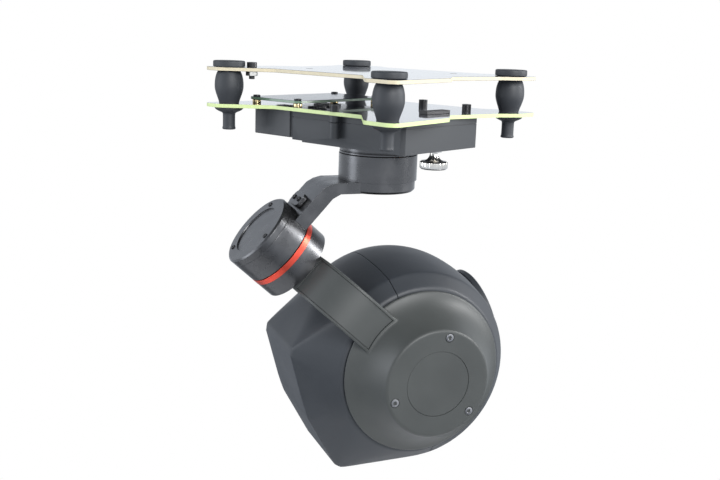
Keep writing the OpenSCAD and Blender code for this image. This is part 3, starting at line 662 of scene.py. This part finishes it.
class GimbalStudio(bpy.types.PropertyGroup):
    """Camera and light."""

    azimuth: bpy.props.FloatProperty(name="Azimuth", description="Camera's turn round the gimbal",
                                     default=math.radians(41.02), subtype="ANGLE")
    elevation: bpy.props.FloatProperty(name="Elevation", description="Camera's height above the horizon",
                                       default=math.radians(12.26), subtype="ANGLE")
    lean: bpy.props.FloatProperty(name="Lean", description="Camera's roll about its own axis",
                                  default=math.radians(1.93), subtype="ANGLE")
    lens: bpy.props.FloatProperty(name="Lens", description="Focal length on a 36 mm sensor, in millimetres",
                                  default=48.18)
    where: bpy.props.FloatVectorProperty(name="Position", description="Camera's place in the gimbal's frame",
                                         default=(0.2800, -0.33243, 0.01733), subtype="TRANSLATION", unit="LENGTH")
    floor_drop: bpy.props.FloatProperty(name="Floor drop", default=0.3, unit="LENGTH",
                                        description="Gap from the gimbal's lowest point to the floor")
    fill: bpy.props.FloatProperty(name="Surround", description="Strength of the white surround", default=0.95)
    key: bpy.props.FloatProperty(name="Key light", description="Power of the main softbox, in watts", default=7.5)


# Operators: one for each piece or group of like pieces

class MODEL_OT_plates(bpy.types.Operator):
    """Finish both plates: glossy dark faces and bare fibre edges"""

    bl_idname = "gimbal.plates"
    bl_label = "Plates"

    def execute(self, context):
        for node, kind in (("upper_plate", "upper"), ("lower_plate", "lower")):
            piece = refined(node, f"{node}_laminate", 0.12, 1)
            body = "airframe_plate" if kind == "upper" else "base"
            settle(piece, body, "glossy_plate", plate_laminate(kind), node)
        return {"FINISHED"}


class MODEL_OT_dampers(bpy.types.Operator):
    """Turn one rubber damper and copy it to the four corners"""

    bl_idname = "gimbal.dampers"
    bl_label = "Rubber dampers"

    def execute(self, context):
        profile = [(0, 2.7), (6.3, 2.7), (6.6, 2.66), (6.84, 2.54), (6.96, 2.3), (7.0, 2.0), (7.0, 0.35),
                   (6.94, 0.15), (6.8, 0.1), (4.3, 0.1), (4.3, -1.7), (4.7, -1.75)]
        profile += [(r, BULB_TOP - BULB_H * t) for t, r in BULB]
        profile += [(4.3, -15.7), (4.3, -17.5), (6.0, -17.5), (6.35, -17.62), (6.3, -17.95),
                    (5.9, -18.5), (4.7, -19.2), (3.3, -19.75), (2.8, -20.1), (2.7, -20.6), (2.7, -25.7),
                    (2.76, -26.1), (2.95, -26.5), (2.95, -26.9), (2.75, -27.2), (2.3, -27.3), (0, -27.3)]
        pattern = turned("damper_pattern", profile, 72)
        modifier(pattern, "SUBSURF", levels=1, render_levels=1)
        smooth(pattern, 60)
        for node, (x, y) in DAMPERS.items():
            piece = bpy.data.objects.new(f"{node}_rubber", pattern.data.copy())
            context.scene.collection.objects.link(piece)
            place(piece, Matrix.Translation(Vector((x, y, 0)) * MM))
            settle(piece, None, "damper_rubber", rubber(), node)
            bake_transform(piece)
        bpy.data.objects.remove(pattern)
        return {"FINISHED"}


class MODEL_OT_small_screws(bpy.types.Operator):
    """Round the edges of the small screws, spacers and the nut"""

    bl_idname = "gimbal.small_screws"
    bl_label = "Screws and spacers"

    def execute(self, context):
        for node, body, slot, finish in (
            ("safety_screw", "airframe_plate", "black_screw", black_oxide()),
            ("safety_nut", "airframe_plate", "nickel", nickel()),
            ("case_screws", "base", "black_screw", black_oxide()),
            ("signal_board_screws", "base", "black_screw", black_oxide()),
            ("signal_board_spacers", "base", "brass_spacer", brass()),
            ("yaw_flange_screws", "base", "black_screw", black_oxide()),
            ("arm_cable_cover_screws", "yaw_stage", "black_screw", black_oxide()),
            ("roll_cap_screws", "yaw_stage", "black_screw", black_oxide()),
        ):
            settle(refined(node, f"{node}_finished", 0.18), body, slot, finish, node)
        return {"FINISHED"}


class MODEL_OT_electronics(bpy.types.Operator):
    """Finish the electronics case, the side box and the boards"""

    bl_idname = "gimbal.electronics"
    bl_label = "Electronics case"

    def execute(self, context):
        edge = sizes().case_edge / MM
        case = refined("electronics_case", "electronics_case_moulding", edge, 3)
        to_plan = Matrix(((0, 1, 0, 0), (0, 0, 1, 0), (1, 0, 0, 0), (0, 0, 0, 1)))
        middle = Vector((11, -3))
        groove = prism("lid_groove", [(-24, -42), (48, -42), (48, 36), (-24, 36)], GROOVE_H / 2)
        core = prism("lid_core", [middle + (Vector(p) - middle) * GROOVE_IN for p in CASE_OUTLINE], 1)
        cut(groove, core)
        place(groove, Matrix.Translation((0, 0, (CASE_TOP - LID_H) * MM)) @ to_plan)
        cut(case, groove)
        smooth(case, 30)
        settle(case, "base", "case_black", case_plastic(), "electronics_case")
        settle(refined("side_box", "side_box_moulding", edge * 0.7, 3), "base", "case_black", case_plastic(),
               "side_box")
        settle(refined("signal_board", "signal_board_laminate", 0.1, 1), "base", "circuit_board", circuit_board(),
               "signal_board")
        settle(refined("plate_connector", "plate_connector_moulding", 0.15), "base", "chip_black", chip_black(),
               "plate_connector")
        return {"FINISHED"}


class MODEL_OT_thumb_screw(bpy.types.Operator):
    """Round the thumb screw's collar, neck and knurled wheel"""

    bl_idname = "gimbal.thumb_screw"
    bl_label = "Thumb screw"

    def execute(self, context):
        settle(refined("thumb_screw", "thumb_screw_turned", 0.12, 2, 25), "thumb_screw_body", "nickel", nickel(),
               "thumb_screw")
        return {"FINISHED"}


class MODEL_OT_motors(bpy.types.Operator):
    """Finish the yaw and roll motors' housings, bells, cap and red ring"""

    bl_idname = "gimbal.motors"
    bl_label = "Motors"

    def execute(self, context):
        edge = sizes().metal_edge / MM
        for node, body, slot, finish in (
            ("yaw_flange", "base", "anodised_black", anodised_black()),
            ("yaw_bell", "yaw_stage", "anodised_black", anodised_black()),
            ("roll_motor_housing", "yaw_stage", "anodised_black", anodised_black()),
            ("roll_motor_cap", "yaw_stage", "anodised_black", anodised_black()),
            ("roll_bell", "roll_stage", "anodised_black", anodised_black()),
            ("roll_red_ring", "roll_stage", "red_anodised", red_anodised()),
        ):
            settle(refined(node, f"{node}_machined", edge if node != "roll_red_ring" else 0.12, 3), body, slot,
                   finish, node)
        return {"FINISHED"}


class MODEL_OT_yaw_arm(bpy.types.Operator):
    """Round the yaw arm and its cable cover"""

    bl_idname = "gimbal.yaw_arm"
    bl_label = "Yaw arm"

    def execute(self, context):
        edge = sizes().arm_edge / MM
        settle(refined("yaw_arm", "yaw_arm_machined", edge, 4), "yaw_stage", "anodised_black", anodised_black(),
               "yaw_arm")
        settle(refined("arm_cable_cover", "arm_cable_cover_machined", 0.5, 4), "yaw_stage", "anodised_black",
               anodised_black(), "arm_cable_cover")
        return {"FINISHED"}


def flare(t):
    """A point (radius, distance) on the cover's flare, from its rim in to its flat top."""
    a = Vector((COVER_R - 0.6, RIM_S + 1))
    b = Vector((COVER_TOP_R + 5.6, RIM_S + 3.8))
    c = Vector((COVER_TOP_R + 0.4, COVER_TOP_S - 0.6))
    return tuple((1 - t) * (1 - t) * a + 2 * t * (1 - t) * b + t * t * c)


def strip_outline(depth, thick, start_s, end_l):
    """The strip's side outline as (distance along the pitch axis, distance up the roll axis)."""
    outer = ELBOW_R - depth
    inner = outer - thick
    turn = [math.radians(3 * i) for i in range(31)]
    return ([(start_s, ELBOW_L + inner), (start_s, ELBOW_L + outer)]
            + [(ELBOW_S + outer * math.cos(t), ELBOW_L + outer * math.sin(t)) for t in reversed(turn)]
            + [(ELBOW_S + outer, end_l), (ELBOW_S + inner, end_l)]
            + [(ELBOW_S + inner * math.cos(t), ELBOW_L + inner * math.sin(t)) for t in turn])


def strip_solid(name, depth, thick, width, start_s, end_l):
    """The strip as a solid in the roll stage's frame."""
    piece = prism(name, [(s, l) for s, l in strip_outline(depth, thick, start_s, end_l)], width / 2)
    # the prism's X, Y and Z are the strip's width, the pitch axis and the roll axis
    return place(piece, Matrix(((0, 1, 0, 0), (-1, 0, 0, 0), (0, 0, 1, 0), (0, 0, 0, 1))))


class MODEL_OT_roll_arm(bpy.types.Operator):
    """Cast the roll arm: elbow strip with raised lips, and the flared cover of the pitch motor"""

    bl_idname = "gimbal.roll_arm"
    bl_label = "Roll arm and cover"

    def execute(self, context):
        profile = ([(0, COVER_TOP_S), (COVER_TOP_R - 0.4, COVER_TOP_S)]
                   + [flare(1 - i / 16) for i in range(17)]
                   + [(COVER_R, RIM_S + 0.6), (COVER_R, RIM_S), (COVER_R - 2.6, RIM_S), (COVER_R - 4.6, RIM_S + 2),
                      (MOTOR_ROOM_R, RIM_S + 2), (MOTOR_ROOM_R, COVER_TOP_S - 2), (0, COVER_TOP_S - 2)])
        casting = place(turned("roll_arm_casting", profile, 128), ALONG_PITCH)
        strip = strip_solid("strip", 0, STRIP_T, STRIP_W, 0, STRIP_END - 4)
        disc = rod("strip_disc", BOSS_R, STRIP_TOP - STRIP_T, STRIP_TOP)
        cut(casting, strip, "UNION")
        cut(casting, disc, "UNION")
        pocket = strip_solid("pocket", -1, POCKET + 1, STRIP_W - 2 * LIP_W, MOTOR_R + 0.6, STRIP_END - 4)
        cut(pocket, place(rod("pocket_end", STRIP_END, 0, 90, 128), ALONG_PITCH))
        softened(casting, sizes().arm_voxel / MM, 3)
        cut(casting, pocket)
        cut(casting, place(rod("badge_seat", BADGE_SEAT_R, COVER_TOP_S - 0.7, COVER_TOP_S + 2, 96), ALONG_PITCH))
        screws = refined("cover_screws", "cover_screws_finished", 0.1)
        sunk = Matrix.Translation(ROLL_FRAME.to_3x3() @ Vector((-SCREW_SINK * MM, 0, 0)))
        place(screws, sunk)
        for i in range(3):
            turn = Matrix.Rotation(math.radians(120 * i), 4, "Z")
            spot = ALONG_PITCH @ turn @ Matrix.Translation((COVER_SCREW_R * MM, 0, 0))
            cut(casting, place(rod("screw_seat", SCREW_SEAT_R, COVER_TOP_S - 0.5, COVER_TOP_S + 2, 32), spot))
            cut(screws, place(rod("hex_socket", 0.95, COVER_TOP_S - 1.6, COVER_TOP_S + 2, 6), ROLL_FRAME @ spot))
        smooth(screws, 30)
        place(casting, ROLL_FRAME)
        smooth(casting, 40)
        settle(casting, "roll_stage", "arm_grey", arm_paint(), "roll_arm")
        settle(refined("arm_strip_cover", "arm_strip_cover_moulding", 0.14), "roll_stage", "arm_grey", arm_paint(),
               "arm_strip_cover")
        settle(refined("cover_badge", "cover_badge_disc", 0.1), "roll_stage", "arm_grey", arm_paint(), "cover_badge")
        settle(screws, "roll_stage", "steel", worn_steel(), "cover_screws")
        return {"FINISHED"}


def head_turning(name):
    """The head's round body, turned round the pitch axis, in the head's own frame."""
    profile = [(BALL_R * math.cos(math.radians(t)), BALL_R * math.sin(math.radians(t))) for t in range(-90, 1, 3)]
    profile += [(BALL_R - (BALL_R - EDGE_R) * (i / 10) ** 2, EDGE_S * i / 10) for i in range(1, 11)]
    profile += [(SIDE_R, SIDE_S), (0, SIDE_S)]
    return place(turned(name, profile, 144), ALONG_PITCH)


def shell_finished(piece, name, seam_side):
    """Opens a softened shell at its seam, gives it its wall and cuts the opening for its hub."""
    half = sizes().seam / MM / 2
    sliced(piece, (0, -seam_side * half - SEAM_BACK, 0), (0, seam_side, 0))
    walled(piece, sizes().shell_wall / MM)
    cut(piece, place(rod("hub_opening", 13, SIDE_S - 8, SIDE_S + 8, 64), ALONG_PITCH))
    modifier(piece, "BEVEL", width=0.2 * MM, segments=2, limit_method="ANGLE", angle_limit=math.radians(62))
    place(piece, HEAD_FRAME)
    smooth(piece, 50)
    piece.name = piece.data.name = name
    return piece


class MODEL_OT_rear_shell(bpy.types.Operator):
    """Mould the head's rear shell with its angular housing"""

    bl_idname = "gimbal.rear_shell"
    bl_label = "Head, rear shell"

    def execute(self, context):
        rear = head_turning("rear_round")
        sliced(rear, (0, 4, 0), (0, 1, 0), fill=True)
        housing = prism("rear_housing", REAR_OUTLINE, REAR_HALF_W)
        joined(rear, housing)
        edit(rear)
        bpy.ops.mesh.convex_hull()
        done(rear)
        softened(rear, sizes().shell_voxel / MM, 4)
        shell_finished(rear, "rear_shell_moulding", 1)
        settle(rear, "camera_head", "shell_grey", shell_paint(), "rear_shell")
        return {"FINISHED"}


class MODEL_OT_front_shell(bpy.types.Operator):
    """Mould the head's front shell with its lens tube"""

    bl_idname = "gimbal.front_shell"
    bl_label = "Head, front shell"

    def execute(self, context):
        front = head_turning("front_round")
        sliced(front, (0, -7, 0), (0, -1, 0), fill=True)
        tube = place(rod("lens_tube", BEZEL_R - 0.3, 20, BEZEL_Y - 0.5, 96), ALONG_LENS)
        joined(front, tube)
        softened(front, sizes().shell_voxel / MM, 3)
        sliced(front, (0, BEZEL_Y - 1.5, 0), (0, 1, 0))
        shell_finished(front, "front_shell_moulding", -1)
        settle(front, "camera_head", "shell_grey", shell_paint(), "front_shell")
        return {"FINISHED"}


class MODEL_OT_lens(bpy.types.Operator):
    """Finish the lens: bezel, window, barrel and the camera's front element"""

    bl_idname = "gimbal.lens"
    bl_label = "Lens"

    def execute(self, context):
        place_lens = HEAD_FRAME @ ALONG_LENS
        settle(refined("lens_bezel", "lens_bezel_machined", 0.35, 3), "camera_head", "shell_grey", shell_paint(),
               "lens_bezel")
        window_z = BEZEL_Y - 3.4
        edge_r = BEZEL_R - 3.35
        window = turned("lens_window_glass", [
            (0, window_z), (edge_r - 0.25, window_z), (edge_r, window_z + 0.25), (edge_r, window_z + 1.35),
            (edge_r - 0.25, window_z + 1.6), (0, window_z + 1.6)], 96)
        settle(smooth(place(window, place_lens), 30), "camera_head", "lens_glass", lens_glass(), "lens_window")
        seat = BEZEL_Y - 13.3
        end = BEZEL_Y - 7.5
        barrel = [(0, 6), (11.8, 6), (12, 6.2), (12, end - 7), (17, end - 0.3), (16.8, end), (16.2, end)]
        for i in range(8):
            barrel += [(16.1 - 0.75 * i, end - 0.05 - 0.7 * i), (16.1 - 0.75 * i, end - 0.55 - 0.7 * i)]
        barrel += [(10, seat - 0.2), (0, seat - 0.2)]
        barrel = smooth(place(turned("lens_barrel_machined", barrel, 96), place_lens), 30)
        settle(barrel, "camera_head", "lens_black", lens_black(), "lens_barrel")
        arc = [math.radians(6 * i) for i in range(1, 16)]
        dome = [(0, seat + 3)] + [(9.6 * math.sin(a), seat + 0.4 + 2.6 * math.cos(a)) for a in arc]
        dome += [(9.6, seat), (0, seat)]
        element = turned("lens_front_element", dome, 72)
        settle(smooth(place(element, place_lens), 40), "camera_head", "lens_glass", lens_coating())
        return {"FINISHED"}


class MODEL_OT_inside(bpy.types.Operator):
    """Finish the inner CAD pieces: motor insides, boards, frame and camera"""

    bl_idname = "gimbal.inside"
    bl_label = "Inner pieces"

    def execute(self, context):
        finishes = {
            "stator": iron(), "windings": copper(), "bearings": bright_steel(), "magnets": magnet_plating(),
            "shaft": bright_steel(), "controller_board": circuit_board(), "sensor_board": circuit_board(),
            "controller_parts": chip_black(), "signal_board_chips": chip_black(), "head_frame": aluminium(),
            "camera_module": lens_black(), "pitch_base": anodised_black(), "pitch_bell": anodised_black(),
        }
        for node, piece in NODES.items():
            if piece.hide_render:
                continue
            words = [word for word in finishes if node == word or node.endswith("_" + word)]
            if not words:
                raise RuntimeError(f"the CAD piece {node} has no finish")
            piece.data.materials.clear()
            piece.data.materials.append(finishes[words[0]])
        return {"FINISHED"}


class MODEL_OT_studio(bpy.types.Operator):
    """Set the pale floor, the soft studio light and the camera"""

    bl_idname = "gimbal.studio"
    bl_label = "Studio"

    def execute(self, context):
        studio = context.scene.gimbal_studio
        scene = context.scene
        low = CAD_BOX[0].z - studio.floor_drop
        deselect()
        bpy.ops.mesh.primitive_plane_add(size=FLOOR_SIZE, location=(0, 0, low))
        floor = new_name("studio_floor")
        place(floor, Matrix.Identity(4))
        floor.data.materials.append(studio_floor())

        world = bpy.data.worlds.new("studio")
        world.use_nodes = True
        tree = world.node_tree
        out = tree.nodes["World Output"]
        surround = tree.nodes["Background"]
        surround.inputs["Strength"].default_value = studio.fill
        view = tree.nodes.new("ShaderNodeTexCoord")
        split = tree.nodes.new("ShaderNodeSeparateXYZ")
        upright_part = tree.nodes.new("ShaderNodeMath")
        upright_part.operation = "ABSOLUTE"
        walls = tree.nodes.new("ShaderNodeValToRGB")
        for _ in range(2):
            walls.color_ramp.elements.new(0.5)
        for element, (where, tone) in zip(walls.color_ramp.elements, (
                (0.0, (0.92, 0.96, 1.0)), (0.28, (0.84, 0.90, 1.0)), (0.6, (0.26, 0.28, 0.31)),
                (1.0, (0.17, 0.18, 0.19)))):
            element.position = where
            element.color = (*tone, 1.0)
        tree.links.new(view.outputs["Generated"], split.inputs[0])
        tree.links.new(split.outputs["Z"], upright_part.inputs[0])
        tree.links.new(upright_part.outputs[0], walls.inputs[0])
        tree.links.new(walls.outputs[0], surround.inputs["Color"])
        paper = tree.nodes.new("ShaderNodeBackground")
        paper.inputs["Color"].default_value = (1, 1, 1, 1)
        path = tree.nodes.new("ShaderNodeLightPath")
        mix = tree.nodes.new("ShaderNodeMixShader")
        tree.links.new(path.outputs["Is Camera Ray"], mix.inputs[0])
        tree.links.new(surround.outputs[0], mix.inputs[1])
        tree.links.new(paper.outputs[0], mix.inputs[2])
        tree.links.new(mix.outputs[0], out.inputs["Surface"])
        scene.world = world

        back = Vector((math.sin(studio.azimuth) * math.cos(studio.elevation),
                       -math.cos(studio.azimuth) * math.cos(studio.elevation), math.sin(studio.elevation)))
        right = (-back).cross(Vector((0, 0, 1))).normalized()
        up = right.cross(-back)
        level = right * math.cos(studio.lean) + up * math.sin(studio.lean)
        upright = -right * math.sin(studio.lean) + up * math.cos(studio.lean)
        camera_data = bpy.data.cameras.new("camera")
        camera_data.lens = studio.lens
        camera_data.sensor_width = 36
        camera_data.clip_start = 0.01
        camera = bpy.data.objects.new("camera", camera_data)
        camera.matrix_world = Matrix((level, upright, back)).transposed().to_4x4()
        camera.matrix_world.translation = studio.where
        scene.collection.objects.link(camera)
        scene.camera = camera

        middle = (CAD_BOX[0] + CAD_BOX[1]) / 2
        nearer = Vector((back.x, back.y, 0)).normalized()

        def softbox(name, across, height, towards, width, tall, power, tone=(1, 1, 1)):
            """An area light placed from the camera's side: across, up and towards the camera, in metres."""
            light = bpy.data.lights.new(name, "AREA")
            light.shape = "RECTANGLE"
            light.size, light.size_y = width, tall
            light.energy = power
            light.color = tone
            lamp = bpy.data.objects.new(name, light)
            lamp.location = middle + right * across + Vector((0, 0, height)) + nearer * towards
            lamp.rotation_euler = (middle - lamp.location).to_track_quat("-Z", "Y").to_euler()
            scene.collection.objects.link(lamp)

        softbox("key_softbox", 0.40, 0.42, 0.75, 0.45, 0.45, studio.key)
        softbox("right_softbox", 0.75, 0.30, 0.0, 0.16, 0.5, studio.key * 0.65)
        softbox("side_softbox", -0.7, 0.2, 0.15, 0.3, 0.6, studio.key * 0.3, (0.9, 0.94, 1.0))
        scene.view_settings.view_transform = "Standard"
        scene.view_settings.look = "None"
        return {"FINISHED"}


class MODEL_PT_gimbal(bpy.types.Panel):
    """Lists the gimbal's pieces, sizes and colours"""

    bl_label = "Camera gimbal"
    bl_idname = "MODEL_PT_gimbal"
    bl_space_type = "VIEW_3D"
    bl_region_type = "UI"
    bl_category = "Gimbal"

    def draw(self, context):
        for step in STEPS:
            self.layout.operator(step.bl_idname)
        for group in (context.scene.gimbal_sizes, context.scene.gimbal_colours, context.scene.gimbal_studio):
            box = self.layout.box()
            for key in group.__annotations__:
                box.prop(group, key)


STEPS = (
    MODEL_OT_plates, MODEL_OT_dampers, MODEL_OT_small_screws, MODEL_OT_electronics, MODEL_OT_thumb_screw,
    MODEL_OT_motors, MODEL_OT_yaw_arm, MODEL_OT_roll_arm, MODEL_OT_rear_shell, MODEL_OT_front_shell,
    MODEL_OT_lens, MODEL_OT_inside, MODEL_OT_studio,
)
GROUPS = {"gimbal_sizes": GimbalSizes, "gimbal_colours": GimbalColours, "gimbal_studio": GimbalStudio}


def register():
    for key, group in GROUPS.items():
        bpy.utils.register_class(group)
        setattr(bpy.types.Scene, key, bpy.props.PointerProperty(type=group))
    for step in STEPS:
        bpy.utils.register_class(step)
    bpy.utils.register_class(MODEL_PT_gimbal)


def unregister():
    bpy.utils.unregister_class(MODEL_PT_gimbal)
    for step in reversed(STEPS):
        bpy.utils.unregister_class(step)
    for key, group in GROUPS.items():
        delattr(bpy.types.Scene, key)
        bpy.utils.unregister_class(group)


def main():
    register()
    for step in STEPS:
        family, action = step.bl_idname.split(".")
        getattr(getattr(bpy.ops, family), action)()


if __name__ == "__main__":
    main()
